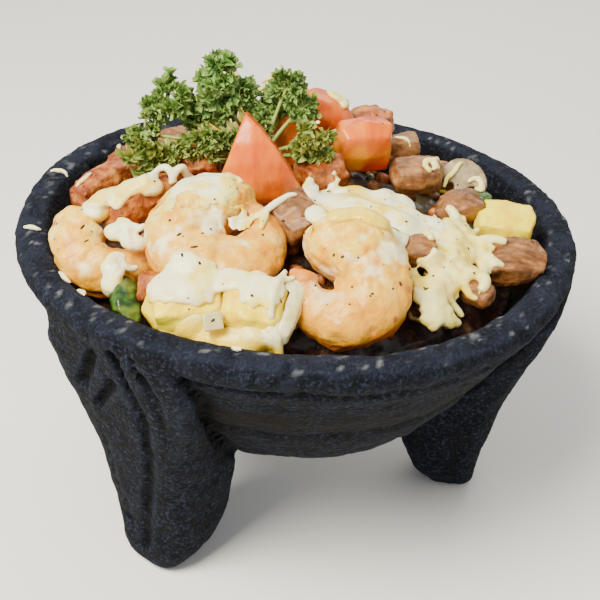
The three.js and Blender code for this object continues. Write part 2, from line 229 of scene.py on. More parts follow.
def grid_faces(rows, columns, wrapped):
    """Four-sided faces over a grid of points; wrapped joins the last column to the first."""
    faces = []
    for i in range(rows - 1):
        for k in range(columns if wrapped else columns - 1):
            after = (k + 1) % columns
            row, above = i * columns, (i + 1) * columns
            faces.append((row + k, row + after, above + after, above + k))
    return faces


def ball(steps):
    """A unit ball of even triangles as (points, faces)."""
    maker = bmesh.new()
    bmesh.ops.create_icosphere(maker, subdivisions=steps, radius=1)
    points = np.array([v.co[:] for v in maker.verts])
    faces = [tuple(v.index for v in f.verts) for f in maker.faces]
    maker.free()
    return points, faces


def piece(name, mesh, material, stands_for=(), masks=None):
    """Puts a finished mesh in the scene as one piece of the dish."""
    mesh.name = name
    for mask, values in (masks or {}).items():
        layer = mesh.attributes.new(mask, "FLOAT", "POINT")
        layer.data.foreach_set("value", np.asarray(values, dtype=np.float32))
    mesh.materials.append(material)
    mesh.shade_smooth()
    made = bpy.data.objects.new(name, mesh)
    bpy.context.scene.collection.objects.link(made)
    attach(made, BODY)
    if stands_for:
        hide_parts(*stands_for)
    return made


def surface(mesh):
    """A mesh's (points, faces)."""
    return points_of(mesh), [tuple(face.vertices) for face in mesh.polygons]


def tree_of(parts):
    """A tree of several (points, faces) pairs, for dropping things onto them."""
    points, faces = joined(parts)
    return BVHTree.FromPolygons([Vector(p) for p in points], faces)


def drop(tree, x, y):
    """Where a thing let fall at x, y comes to rest: its place and the surface's normal."""
    place, normal, _, _ = tree.ray_cast(Vector((x, y, FALL_FROM)), Vector((0, 0, -1)))
    return place, normal


# ---- materials ----


def put(tree, kind, values=None, links=None, stops=None, **settings):
    """Adds one shader node with its settings, its input values and its links."""
    made = tree.nodes.new("ShaderNode" + kind)
    for name, value in settings.items():
        setattr(made, name, value)
    for name, value in (values or {}).items():
        made.inputs[name].default_value = value
    for name, source in (links or {}).items():
        tree.links.new(source, made.inputs[name])
    if stops:
        bands = made.color_ramp.elements
        for place, colour in stops[1:-1]:
            bands.new(place).color = linear(colour)
        bands[0].position, bands[0].color = stops[0][0], linear(stops[0][1])
        bands[-1].position, bands[-1].color = stops[-1][0], linear(stops[-1][1])
    return made


def blend(tree, links, values):
    """A mix of two colours, each from a link or a value."""
    made = put(tree, "Mix", data_type="RGBA")
    sockets = {"Factor": made.inputs[0], "A": made.inputs[6], "B": made.inputs[7]}
    for name, source in links.items():
        tree.links.new(source, sockets[name])
    for name, value in values.items():
        sockets[name].default_value = value
    return made.outputs[2]


def finish(
    name,
    stops,
    grain_mm,
    stretch=(1, 1, 1),
    masks=(),
    bumps=(),
    roughness=0.5,
    ior=1.4,
    shine=0.5,
    soft=0.0,
    soft_reach=(1.0, 0.5, 0.3),
    soft_mm=2.0,
    wet=0.0,
    wet_roughness=0.15,
):
    """A material: colours spread by a grain of a real size, tinted where masks say, with bumps.

    masks holds (mask, colour, strength); bumps holds (size in mm, depth in mm).
    """
    made = bpy.data.materials.new(name)
    made.use_nodes = True
    tree = made.node_tree
    tree.nodes.clear()
    where = put(tree, "TexCoord").outputs["Object"]
    scale = [1 / (grain_mm * MM * s) for s in stretch]
    laid = put(tree, "Mapping", {"Scale": scale}, {"Vector": where}).outputs[0]
    grain = put(tree, "TexNoise", {"Scale": 1, "Detail": 4, "Roughness": 0.6}, {"Vector": laid})
    colour = put(tree, "ValToRGB", links={"Fac": grain.outputs["Fac"]}, stops=stops).outputs[0]
    for mask, tint, strength in masks:
        seen = put(tree, "Attribute", attribute_name=mask).outputs["Fac"]
        share = put(tree, "Math", {1: strength}, {0: seen}, operation="MULTIPLY", use_clamp=True)
        links = {"Factor": share.outputs[0], "A": colour}
        colour = blend(tree, links, {"B": linear(tint)})
    surface = put(
        tree,
        "BsdfPrincipled",
        {
            "Roughness": roughness,
            "IOR": ior,
            "Specular IOR Level": shine,
            "Subsurface Weight": soft,
            "Subsurface Radius": soft_reach,
            "Subsurface Scale": soft_mm * MM,
            "Coat Weight": wet,
            "Coat Roughness": wet_roughness,
        },
        {"Base Color": colour},
    )
    facing = None
    for size_mm, depth_mm in bumps:
        fine = put(
            tree,
            "TexNoise",
            {"Scale": 1 / (size_mm * MM), "Detail": 3, "Roughness": 0.6},
            {"Vector": where},
        )
        links = {"Height": fine.outputs["Fac"]}
        if facing:
            links["Normal"] = facing
        facing = put(tree, "Bump", {"Strength": 1, "Distance": depth_mm * MM}, links).outputs[0]
    if facing:
        tree.links.new(facing, surface.inputs["Normal"])
    end = put(tree, "OutputMaterial", links={"Surface": surface.outputs[0]})
    end.is_active_output = True
    return made


def basalt(look):
    # Vesicular basalt, pecked and rubbed smooth: charcoal with a cold cast, fine open pores that
    # catch no light, and paler grey on its ridges and the rim's top, partly worn by hands and
    # stacking and partly a painted highlight.
    return finish(
        "basalt, pecked and worn",
        [(0.4, look.stone_dark), (0.52, look.stone_mid), (0.66, look.stone_light)],
        1.5,
        masks=(
            ("pore", "#060608", 0.8),
            # Paler grey on ridges and the rim's top: partly real wear, partly a painted highlight.
            ("wear_and_highlight", look.stone_wear_and_highlight, 0.6),
            ("scuff", "#8f9299", 0.5),
            # Painted shade: near-black in the carved grooves and hollows.
            ("groove_shade", "#07080a", 0.75),
            ("oil", "#120c09", 0.8),
        ),
        bumps=((1.3, 1.6), (4.5, 1.2)),
        roughness=0.9,
        ior=1.5,
        shine=0.16,
    )


def grilled_beef():
    # Beef sirloin seared on a hot plate: brown muscle fibre with paler streaks, darker and drier
    # at the seared edges, with a thin wet film of juice.
    return finish(
        "beef, seared and sliced",
        [(0.3, "#4e2e10"), (0.45, "#7a4a20"), (0.56, "#966132"), (0.72, "#b8864a")],
        5.0,
        stretch=(1.5, 0.5, 0.7),
        masks=(("edge", "#4e2c10", 0.7), ("pale", "#bd8a50", 0.45)),
        bumps=((0.7, 0.35),),
        roughness=0.48,
        ior=1.42,
        soft=0.12,
        soft_mm=1.5,
        wet=0.25,
        wet_roughness=0.3,
    )


def marinated_chicken():
    # Chicken in red chilli marinade, grilled: brick-red crust over tan meat, coarse and moist.
    return finish(
        "chicken, marinated and grilled",
        [(0.3, "#6a2c0a"), (0.45, "#984814"), (0.56, "#b56222"), (0.72, "#d29040")],
        4.0,
        masks=(("edge", "#5c2408", 0.6), ("pale", "#d09448", 0.6)),
        bumps=((0.9, 0.45),),
        roughness=0.46,
        ior=1.42,
        soft=0.12,
        soft_mm=1.5,
        wet=0.3,
        wet_roughness=0.28,
    )


def prawn_flesh():
    # Peeled prawn, seared: dense white flesh that glows a little, pink along its joints, golden
    # where it met the plate, under a wet buttery film.
    return finish(
        "prawn flesh, seared in butter",
        [(0.34, "#e89a00"), (0.45, "#f8bd20"), (0.55, "#ffda52"), (0.68, "#fff2a4")],
        8.0,
        masks=(
            ("gold", "#eca000", 0.8),
            ("sear", "#cb5a12", 0.85),
            ("cream", "#fffad0", 0.85),
            ("blush", "#cf6526", 0.6),
            ("char", "#7d2d0c", 0.85),
        ),
        bumps=((1.8, 0.4), (0.6, 0.15)),
        roughness=0.42,
        ior=1.4,
        soft=0.2,
        soft_reach=(1.0, 0.8, 0.4),
        soft_mm=3.0,
        wet=0.3,
        wet_roughness=0.22,
    )


def yellow_squash():
    # Steamed yellow squash, cut: soft waxy yellow, paler in patches, deeper along its edges.
    return finish(
        "yellow squash, cut and steamed",
        [(0.3, "#fac000"), (0.5, "#ffe200"), (0.7, "#fff51c")],
        7.0,
        masks=(("pale", "#fff04a", 0.7), ("edge", "#eab000", 0.5)),
        bumps=((1.2, 0.18),),
        roughness=0.4,
        ior=1.38,
        soft=0.15,
        soft_reach=(1.0, 0.8, 0.2),
        soft_mm=3.0,
        wet=0.2,
        wet_roughness=0.25,
    )


def green_pepper():
    # Roasted poblano strip: dark glossy skin, wrinkled, yellow-green where it is cut.
    return finish(
        "green pepper, roasted",
        [(0.35, "#0d2209"), (0.5, "#1d420f"), (0.65, "#46701c")],
        5.0,
        stretch=(1, 1, 2.5),
        masks=(("pale", "#7f9a3a", 0.55), ("edge", "#122208", 0.6)),
        bumps=((1.5, 0.3),),
        roughness=0.35,
        ior=1.4,
        soft=0.1,
        soft_mm=1.0,
        wet=0.5,
    )


def cooked_mushroom():
    # Sliced cooked mushroom: grey-beige flesh with a darker rim and a damp sheen.
    return finish(
        "mushroom, sliced and fried",
        [(0.3, "#7b664b"), (0.5, "#9a8566"), (0.7, "#bca985")],
        5.0,
        masks=(("edge", "#5d4730", 0.8), ("pale", "#c9b994", 0.5)),
        bumps=((0.9, 0.25),),
        roughness=0.5,
        ior=1.38,
        soft=0.15,
        soft_mm=1.5,
        wet=0.25,
    )


def soft_onion():
    # Sweated white onion: half clear, layered, greenish cream, very wet.
    return finish(
        "onion, sweated",
        [(0.3, "#d9cf8d"), (0.5, "#e6deaa"), (0.7, "#f1ecc9")],
        4.0,
        stretch=(1, 3, 1),
        masks=(("edge", "#a8964a", 0.6),),
        bumps=((1.5, 0.15),),
        roughness=0.25,
        ior=1.37,
        soft=0.45,
        soft_mm=3.0,
        wet=0.6,
        wet_roughness=0.12,
    )


def melted_cheese():
    # Melted white cheese: creamy and smooth, yellow where it is thin or pooled with butterfat,
    # with a soft oily gloss; brown shows in the gaps between shreds.
    return finish(
        "white cheese, melted",
        [(0.36, "#f6cc20"), (0.47, "#fce250"), (0.6, "#fff290")],
        7.0,
        masks=(
            ("milk", "#fffee0", 0.9),
            ("fat", "#ffd400", 0.85),
            ("edge", "#e6c04a", 0.4),
            ("gap", "#5a3a16", 0.85),
        ),
        bumps=((2.4, 0.5), (0.9, 0.15)),
        roughness=0.36,
        ior=1.43,
        soft=0.25,
        soft_reach=(1.0, 0.9, 0.5),
        soft_mm=3.5,
        wet=0.35,
        wet_roughness=0.22,
    )


def tomato_flesh():
    # Fresh tomato, cut: salmon-orange wet flesh, faint pale veins, deeper red at skin and edges.
    return finish(
        "tomato, fresh cut",
        [(0.3, "#dc5400"), (0.5, "#e66a06"), (0.7, "#ee8418")],
        9.0,
        stretch=(0.6, 1, 2.2),
        masks=(("skin", "#c83000", 0.8), ("pale", "#ee962c", 0.7), ("gel", "#f09a08", 0.8)),
        bumps=((1.8, 0.16), (0.5, 0.06)),
        roughness=0.3,
        ior=1.37,
        soft=0.2,
        soft_reach=(1.0, 0.35, 0.15),
        soft_mm=3.0,
        wet=0.35,
        wet_roughness=0.16,
    )


def parsley_leaf():
    # Curly parsley: thin matt leaf, fresh green with yellower rims and painted shade in its folds
    # and towards each leaf's base.
    return finish(
        "parsley leaf, curly",
        [(0.3, "#2f5a22"), (0.5, "#52863a"), (0.7, "#7ba64c")],
        7.0,
        # The dark green here is painted shade in the folds and near each leaf's base.
        masks=(("rim", "#a6bc62", 0.55), ("aged", "#b9aa48", 0.7), ("fold_shade", "#152e14", 0.65)),
        bumps=((0.8, 0.12),),
        roughness=0.55,
        ior=1.42,
        soft=0.15,
        soft_reach=(0.4, 1.0, 0.2),
        soft_mm=1.0,
        wet=0.1,
    )


def sauce_and_painted_shade():
    # What lies under the pieces: meat shreds, chilli oil and melted fat, dark and wet, and darker
    # still as painted shade where it shows in the gaps between the pieces.
    return finish(
        "pan juices over shredded meat and painted shade",
        [(0.3, "#120704"), (0.48, "#2c140a"), (0.62, "#552d16"), (0.78, "#9a6c34")],
        6.0,
        masks=(("edge", "#1a0d08", 0.6),),
        bumps=((1.4, 0.6),),
        roughness=0.42,
        ior=1.42,
        soft=0.1,
        soft_mm=1.5,
        wet=0.4,
    )


def dried_herb():
    # Crumbled dried herb and cracked pepper: dark brown flecks.
    return finish(
        "dried herb and cracked pepper",
        [(0.35, "#1c1509"), (0.5, "#3a2a14"), (0.65, "#5b4420")],
        1.5,
        roughness=0.7,
        ior=1.45,
    )


# ---- settings a user would change ----


def length_setting(name, description, default_mm, low_mm, high_mm):
    """A length that the sidebar shows in the scene's units."""
    return bpy.props.FloatProperty(
        name=name,
        description=description,
        default=default_mm * MM,
        min=low_mm * MM,
        max=high_mm * MM,
        unit="LENGTH",
        subtype="DISTANCE",
    )


def shade_setting(name, description, default):
    """A colour as six sRGB hex figures."""
    return bpy.props.StringProperty(
        name=name, description=description + ", sRGB hex", default=default
    )


class GrillLook(bpy.types.PropertyGroup):
    """Sizes, colours and amounts of the dish."""

    stone_grain: length_setting(
        "Stone skin size", "Size of the faces that the carved stone is made of", 1.7, 0.8, 4
    )
    stone_rough: length_setting(
        "Stone roughness depth", "How far the pecked stone rises and falls", 0.8, 0, 3
    )
    groove_depth: bpy.props.FloatProperty(
        name="Groove strength",
        description="How much deeper the carved grooves are than in the plain stone",
        default=1.3,
        min=0,
        max=3,
    )
    stone_dark: shade_setting("Stone dark", "Darkest colour of the stone", "#020305")
    stone_mid: shade_setting("Stone middle", "Main colour of the stone", "#060913")
    stone_light: shade_setting("Stone light", "Lightest grain of the stone", "#262c40")
    # Colour of the worn edges and of the painted highlight on ridges and the rim's top.
    stone_wear_and_highlight: shade_setting("Stone worn", "Colour of the worn edges", "#282e40")
    food_grain: length_setting(
        "Food skin size", "Size of the faces that cut food is made of", 0.7, 0.3, 2
    )
    shred_radius: length_setting(
        "Cheese shred radius", "Half the thickness of one shred of cheese", 1.6, 0.5, 4
    )
    flecks: bpy.props.IntProperty(
        name="Herb flecks", description="Number of herb and pepper flecks", default=340, min=0
    )
    bits: bpy.props.IntProperty(
        name="Small bits", description="Number of small bits in the filling", default=260, min=0
    )


# ---- the stone mortar ----

MOUTH_RADIUS = 0.103


class GRILL_OT_mortar(bpy.types.Operator):
    """Carve the stone mortar: pecked skin, worn rim with a painted highlight, open pores"""

    bl_idname = "grill.mortar"
    bl_label = "Stone mortar"

    def execute(self, context):
        look = context.scene.grill_look
        skin = even_skin(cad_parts["molcajete"].data, look.stone_grain, 2)
        points, out = points_of(skin), normals_of(skin)
        hollow = -hump(skin, points, out, 36)
        radius = np.hypot(points[:, 0], points[:, 1])
        outside = ramp(radius, 0.1, 0.112) + ramp(points[:, 2], 0.115, 0.1)
        hollow = np.clip(hollow, 0, 1.2 * MM) * np.clip(outside, 0, 1)
        points = points - out * (look.groove_depth * hollow)[:, None]
        dents = layered(points, 15 * MM, 3, 2)
        pecks = layered(points, 5 * MM, 7, 3)
        rise = look.stone_rough * (0.9 * dents + 0.7 * pecks)
        chips = np.minimum(noise(points, 6 * MM, 21) + 0.45, 0)
        on_rim = ramp(points[:, 2], 0.118, 0.127) * ramp(radius, 0.099, 0.104)
        rise += chips * 3.2 * MM * (0.35 + 0.65 * on_rim)
        flat_foot = ramp(points[:, 2], 0.0, 0.004)
        points = points + out * (rise * flat_foot)[:, None]
        points[:, 2] = np.maximum(points[:, 2], 0)
        set_points(skin, points)
        out = normals_of(skin)
        # Paler where the stone stands out and on the rim's top: partly real wear, partly a painted
        # highlight.
        raised = hump(skin, points, out, 8)
        top = ramp(out[:, 2], 0.3, 0.95) * on_rim
        mottle = layered(points, 10 * MM, 5, 4)
        wear_and_highlight = ramp(raised, 0.12 * MM, 0.6 * MM) * 0.5 + ramp(mottle, 0.0, 0.6) * 0.2
        wear_and_highlight = np.clip(wear_and_highlight + top * (0.5 + 0.6 * mottle), 0, 1)
        scuff = ramp(layered(points * (1, 1, 2), 2.6 * MM, 31), 0.3, 0.6)
        scuff *= np.clip(0.2 * wear_and_highlight + 0.8 * top, 0, 1)
        inside = ramp(MOUTH_RADIUS - radius, -0.002, 0.002) * ramp(points[:, 2], 0.07, 0.1)
        masks = {
            "wear_and_highlight": wear_and_highlight,
            "scuff": scuff,
            "pore": ramp(noise(points, 2.8 * MM, 11), 0.35, 0.75),
            # Painted shade in the carved grooves and where the legs meet the bowl.
            "groove_shade": ramp(hollow, 0.15 * MM, 0.9 * MM),
            "oil": inside * ramp(layered(points, 22 * MM, 41), -0.5, 0.4),
        }
        piece("stone_mortar", skin, basalt(look), ("molcajete",), masks)
        return {"FINISHED"}


# ---- cut food ----


def cut_piece(node, material, voxel, rounds, coarse, fine, seed, fibre=(1, 1, 1)):
    """One cut piece of food over its CAD node: softened, dented and torn along its fibres."""
    skin = even_skin(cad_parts[node].data, voxel, rounds)
    points = points_of(skin)
    local = points - points.mean(axis=0)
    rise = coarse * layered(points, 7 * MM, seed, 2)
    rise += fine * layered(local * fibre, 2.4 * MM, seed + 5, 3)
    points = push(skin, rise)
    raised = hump(skin, points, normals_of(skin), 5)
    usual = np.abs(raised).mean() + 1e-9
    edge = ramp(raised / usual, 0.8, 3.0) * (0.6 + 0.4 * layered(points, 4 * MM, seed + 9))
    edge = np.clip(edge + 0.7 * ramp(layered(local, 5 * MM, seed + 17), 0.15, 0.5), 0, 1)
    pale = ramp(layered(local, 6 * MM, seed + 13), 0.05, 0.5)
    return piece(node + "_cut", skin, material, (node,), {"edge": edge, "pale": pale})


def nodes_of(kind):
    """The frame's nodes of one kind of food, by name."""
    return sorted(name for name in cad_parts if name.startswith(kind))


class GRILL_OT_beef(bpy.types.Operator):
    """Seared beef pieces with torn fibres and darker edges"""

    bl_idname = "grill.beef"
    bl_label = "Beef"

    def execute(self, context):
        voxel = context.scene.grill_look.food_grain
        material = grilled_beef()
        for i, node in enumerate(nodes_of("beef")):
            fibre = ((0.4, 1.5, 1), (1.5, 0.4, 1), (1, 0.5, 1.6))[i % 3]
            cut_piece(node, material, voxel, 2, 0.9 * MM, 0.45 * MM, 100 + i, fibre)
        return {"FINISHED"}


class GRILL_OT_chicken(bpy.types.Operator):
    """Marinated chicken strips and chunks with a coarse crust"""

    bl_idname = "grill.chicken"
    bl_label = "Chicken"

    def execute(self, context):
        voxel = context.scene.grill_look.food_grain
        material = marinated_chicken()
        for i, node in enumerate(nodes_of("chicken")):
            cut_piece(node, material, voxel, 2, 1.0 * MM, 0.9 * MM, 200 + i)
        return {"FINISHED"}


# The front squash lies under melted cheese: more rounds of softening and larger lumps.
MELTED_ROUNDS = 10
MELTED_COARSE = 2.25


class GRILL_OT_vegetables(bpy.types.Operator):
    """Squash, green pepper, mushroom and onion pieces"""

    bl_idname = "grill.vegetables"
    bl_label = "Vegetables"

    def execute(self, context):
        voxel = context.scene.grill_look.food_grain
        kinds = (
            ("squash", yellow_squash(), 1, 0.6, 0.3),
            ("pepper", green_pepper(), 2, 0.8, 0.35),
            ("mushroom", cooked_mushroom(), 2, 0.5, 0.3),
            ("onion", soft_onion(), 4, 0.5, 0.2),
        )
        for kind, material, rounds, coarse, fine in kinds:
            for i, node in enumerate(nodes_of(kind)):
                melted = node.startswith("squash_front")
                softening = rounds + MELTED_ROUNDS * melted
                lumpy = coarse * (MELTED_COARSE if melted else 1) * MM
                cut_piece(node, material, voxel, softening, lumpy, fine * MM, 300 + 7 * i)
        return {"FINISHED"}


TOMATO_GRAIN = 0.75 * MM


class GRILL_OT_tomato(bpy.types.Operator):
    """Fresh tomato pieces: flat wet faces, a skin side and, on one, a patch of gel"""

    bl_idname = "grill.tomato"
    bl_label = "Tomato"

    def execute(self, context):
        material = tomato_flesh()
        for i, node in enumerate(nodes_of("tomato")):
            skin = even_skin(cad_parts[node].data, TOMATO_GRAIN, 4)
            out = normals_of(skin)
            points = push(skin, 0.35 * MM * layered(points_of(skin), 8 * MM, 400 + i, 3))
            low, high = points.min(axis=0), points.max(axis=0)
            share = (points - low) / (high - low)
            skin_side = ramp(out[:, 1], -0.25, 0.35)
            gel = np.zeros(len(points))
            if node == "tomato_right":
                gel = ramp(layered(points, 12 * MM, 440, 2), -0.05, 0.3)
                gel *= ramp(out[:, 1], 0.1, -0.5)
                skin_side = skin_side + ramp(share[:, 2], 0.3, 0.12)
                skin_side = np.clip(skin_side + 0.6 * ramp(share[:, 0], 0.14, 0.04), 0, 1)
            low_red = ramp(share[:, 2], 0.18, 0.02) * 0.6
            pale = ramp(layered(points, 11 * MM, 420 + i, 2), 0.1, 0.6) * (1 - skin_side)
            pale = np.clip(pale + 0.5 * ramp(share[:, 0], 0.6, 0.0) * (1 - skin_side), 0, 1)
            masks = {"skin": np.clip(skin_side + low_red, 0, 1), "pale": pale, "gel": gel}
            piece(node + "_wedge", skin, material, (node,), masks)
        return {"FINISHED"}


# ---- prawns ----

# Node, turn about X, Y, Z in degrees, widest arc in degrees, body thickness against the curl's
# width, and seed.
PRAWNS = (
    ("prawn_front", (219, 0, -150), 346, 0.52, 1),
    ("prawn_middle", (22, 0, 42), 376, 0.52, 2),
    ("prawn_left", (36, 0, 136), 232, 0.42, 3),
    ("prawn_back", (-38, 0, 20), 290, 0.45, 4),
)
PRAWN_GRAIN = 0.66 * MM
PRAWN_ROWS = 200
PRAWN_COLUMNS = 60
PRAWN_SEGMENTS = 6


def prawn_body(arc_degrees, thickness):
    """A peeled prawn of unit width, curled in the XY plane, with its masks.

    t runs from the head end at 0 to the tail at 1.
    """
    t = np.repeat(np.linspace(0, 1, PRAWN_ROWS), PRAWN_COLUMNS)
    around = np.tile(np.linspace(0, 2 * math.pi, PRAWN_COLUMNS, endpoint=False), PRAWN_ROWS)
    outer, side = np.cos(around), np.sin(around)
    body = np.interp(
        t,
        [0, 0.02, 0.06, 0.12, 0.22, 0.5, 0.7, 0.85, 0.94, 0.985, 1],
        [0, 0.5, 0.82, 0.98, 1.02, 0.95, 0.78, 0.55, 0.36, 0.34, 0],
    )
    body = body * thickness / 2
    along = (t - 0.02) / 0.88 * PRAWN_SEGMENTS
    step = along - np.floor(along)
    within = (along > 0.2) & (along < PRAWN_SEGMENTS)
    crease = np.exp(-((np.minimum(step, 1 - step) / 0.09) ** 2)) * within
    swell = np.sqrt(np.clip(np.sin(step * math.pi), 0, 1)) * within
    belly = ramp(-outer, 0.2, 1.0)
    cut = np.exp(-((np.arctan2(side, outer) / 0.2) ** 2)) * ramp(t, 0.03, 0.1)
    cut *= ramp(t, 0.8, 0.6)
    factor = 1 + 0.03 * swell * (1 - 0.5 * belly) - 0.03 * crease * (1 - 0.8 * belly)
    factor = factor - 0.2 * cut
    ring = 0.5 - thickness / 2
    ring = ring * (1 - 0.3 * (1 - t) ** 2)
    angle = t * math.radians(arc_degrees)
    reach = ring + outer * body * factor
    height = side * body * factor * np.where(t > 0.93, 1.15, 0.88)
    points = np.stack([np.cos(angle) * reach, np.sin(angle) * reach, height], axis=1)
    return points, {"t": t, "crease": crease, "cut": cut}


class GRILL_OT_prawns(bpy.types.Operator):
    """Peeled, seared prawns with jointed bodies and a cut along the back"""

    bl_idname = "grill.prawns"
    bl_label = "Prawns"

    def execute(self, context):
        material = prawn_flesh()
        faces = grid_faces(PRAWN_ROWS, PRAWN_COLUMNS, True)
        for node, turn, arc, thickness, seed in PRAWNS:
            points, own = prawn_body(arc, thickness)
            spin = Matrix.Identity(3)
            for axis, degrees in zip("XYZ", turn):
                spin = spin @ Matrix.Rotation(math.radians(degrees), 3, axis)
            points = points @ np.array(spin).T
            low, high = (np.array(corner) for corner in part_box(node))
            size = 1.03 * (high - low)[0] / np.ptp(points[:, 0])
            points = points * size
            points += (low + high) / 2 - (points.min(axis=0) + points.max(axis=0)) / 2
            mesh = mesh_from(node, points, faces)
            if ((points - points.mean(axis=0)) * normals_of(mesh)).sum() < 0:
                mesh.flip_normals()
            mesh = even_skin(mesh, PRAWN_GRAIN, 3)
            source = nearest(points_of(mesh), points)
            own = {mask: values[source] for mask, values in own.items()}
            points = points_of(mesh)
            rise = 1.5 * MM * layered(points, 12 * MM, 500 + seed, 2)
            rise += 0.8 * MM * layered(points, 4 * MM, 520 + seed, 3)
            points = push(mesh, rise)
            share = (points[:, 2] - points[:, 2].min()) / np.ptp(points[:, 2])
            patch = layered(points, 12 * MM, 540 + seed, 3)
            fine = layered(points, 3 * MM, 560 + seed, 3)
            gold = ramp(share + 0.4 * patch, 0.95, 0.4)
            gold = np.clip(gold + 0.6 * ramp(patch, 0.0, 0.5), 0, 1)
            cream = ramp(patch + 0.3 * fine, -0.05, -0.4) * ramp(share, 0.3, 0.6)
            sear = ramp(share + 0.2 * patch + 0.1 * fine, 0.34, 0.08)
            sear = np.clip(sear + ramp(own["t"], 0.78, 0.98) * 0.7, 0, 1)
            blush = own["crease"] * ramp(fine, -0.1, 0.4) * 0.6 + own["cut"] * 0.7
            blush = np.clip(blush + 0.6 * ramp(fine + 0.5 * patch, 0.42, 0.7), 0, 1)
            char = ramp(fine + 0.4 * patch, 0.58, 0.8) * 0.8
            masks = {"gold": gold, "sear": sear, "cream": cream, "blush": blush, "char": char}
            piece(node + "_flesh", mesh, material, (node,), masks)
        return {"FINISHED"}


# ---- the filling under the larger pieces ----


FILLING_GRAIN = 1.8 * MM
BIT_REACH = 0.085


class GRILL_OT_filling(bpy.types.Operator):
    """The heap under the larger pieces, with loose bits of meat and vegetable over it"""

    bl_idname = "grill.filling"
    bl_label = "Filling"

    def execute(self, context):
        look = context.scene.grill_look
        skin = even_skin(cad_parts["filling"].data, FILLING_GRAIN, 3)
        points, out = points_of(skin), normals_of(skin)
        up = ramp(out[:, 2], 0.1, 0.6)
        lumps = 2.6 * MM * layered(points, 9 * MM, 600, 3) - 1.0 * MM
        points = push(skin, lumps * up)
        # The heap is kept very dark: its own dark juices, and painted shade in the gaps between the
        # pieces.
        heap = piece(
            "filling_heap",
            skin,
            sauce_and_painted_shade(),
            ("filling",),
            {"edge": ramp(layered(points, 5 * MM, 610), 0.0, 0.5)},
        )
        tree = tree_of([surface(heap.data)])
        kinds = (
            ("beef_bits", grilled_beef(), "beef", 0.34, 2.0),
            ("chicken_bits", marinated_chicken(), "chicken", 0.3, 2.0),
            ("onion_bits", soft_onion(), "onion", 0.2, 1.8),
            ("pepper_bits", green_pepper(), "pepper", 0.16, 1.5),
        )
        shape, faces = ball(2)
        draw = np.random.default_rng(62)
        for name, material, slot, share, size in kinds:
            parts = []
            for _ in range(int(look.bits * share)):
                angle = draw.uniform(0, 2 * math.pi)
                reach = BIT_REACH * math.sqrt(draw.uniform(0, 1))
                place, _ = drop(tree, reach * math.cos(angle), reach * math.sin(angle))
                stretch = draw.uniform(0.6, 1.6, 3) * size * MM
                spin = np.array(Euler(draw.uniform(0, 6.3, 3)).to_matrix())
                if place is None:
                    continue
                bit = shape * (1 + 0.25 * noise(shape + draw.uniform(0, 99), 0.7, 5))[:, None]
                bit = np.sign(bit) * np.abs(bit) ** 0.8 * stretch
                parts.append((bit @ spin.T + np.array(place) + (0, 0, 0.8 * MM), faces))
            points, all_faces = joined(parts)
            mesh = mesh_from(name, points, all_faces)
            masks = {
                "edge": ramp(layered(points, 3 * MM, 630), 0.2, 0.7),
                "pale": ramp(layered(points, 4 * MM, 640), 0.1, 0.6),
            }
            piece(name, mesh, material, (), masks)
        return {"FINISHED"}


# ---- melted cheese ----

GRID_STEP = 1.3 * MM
GRID_COUNT = 168
SHEET_REACH = 0.107
SHEET_FLOOR = 0.11


def spread(heights, cells, pick):
    """Each height replaced by the most extreme one within some cells of it."""
    found = heights.copy()
    for i in range(-cells, cells + 1):
        for k in range(-cells, cells + 1):
            if i * i + k * k <= cells * cells + 1:
                found = pick(found, np.roll(heights, (i, k), (0, 1)))
    return found


def drape(tree, bridge_cells):
    """Heights of a soft sheet laid over everything, on a grid; it bridges narrow gaps."""
    axis = (np.arange(GRID_COUNT) - GRID_COUNT / 2) * GRID_STEP
    heights = np.full((GRID_COUNT, GRID_COUNT), SHEET_FLOOR)
    for i, x in enumerate(axis):
        for k, y in enumerate(axis):
            if math.hypot(x, y) < SHEET_REACH:
                place, _ = drop(tree, x, y)
                heights[i, k] = place.z if place else SHEET_FLOOR
    closed = spread(heights, bridge_cells, np.maximum)
    closed = spread(closed, bridge_cells, np.minimum)
    for _ in range(2):
        for side in (0, 1):
            closed = (np.roll(closed, 1, side) + 2 * closed + np.roll(closed, -1, side)) / 4
    return np.maximum(closed, heights - 1.2 * MM)


def height_at(sheet, x, y):
    """The sheet's height between the grid's points."""
    u = np.clip(np.array([x, y]) / GRID_STEP + GRID_COUNT / 2, 0, GRID_COUNT - 1.01)
    i, k = u.astype(int)
    a, b = u - (i, k)
    near = sheet[i, k] * (1 - a) + sheet[i + 1, k] * a
    far = sheet[i, k + 1] * (1 - a) + sheet[i + 1, k + 1] * a
    return near * (1 - b) + far * b


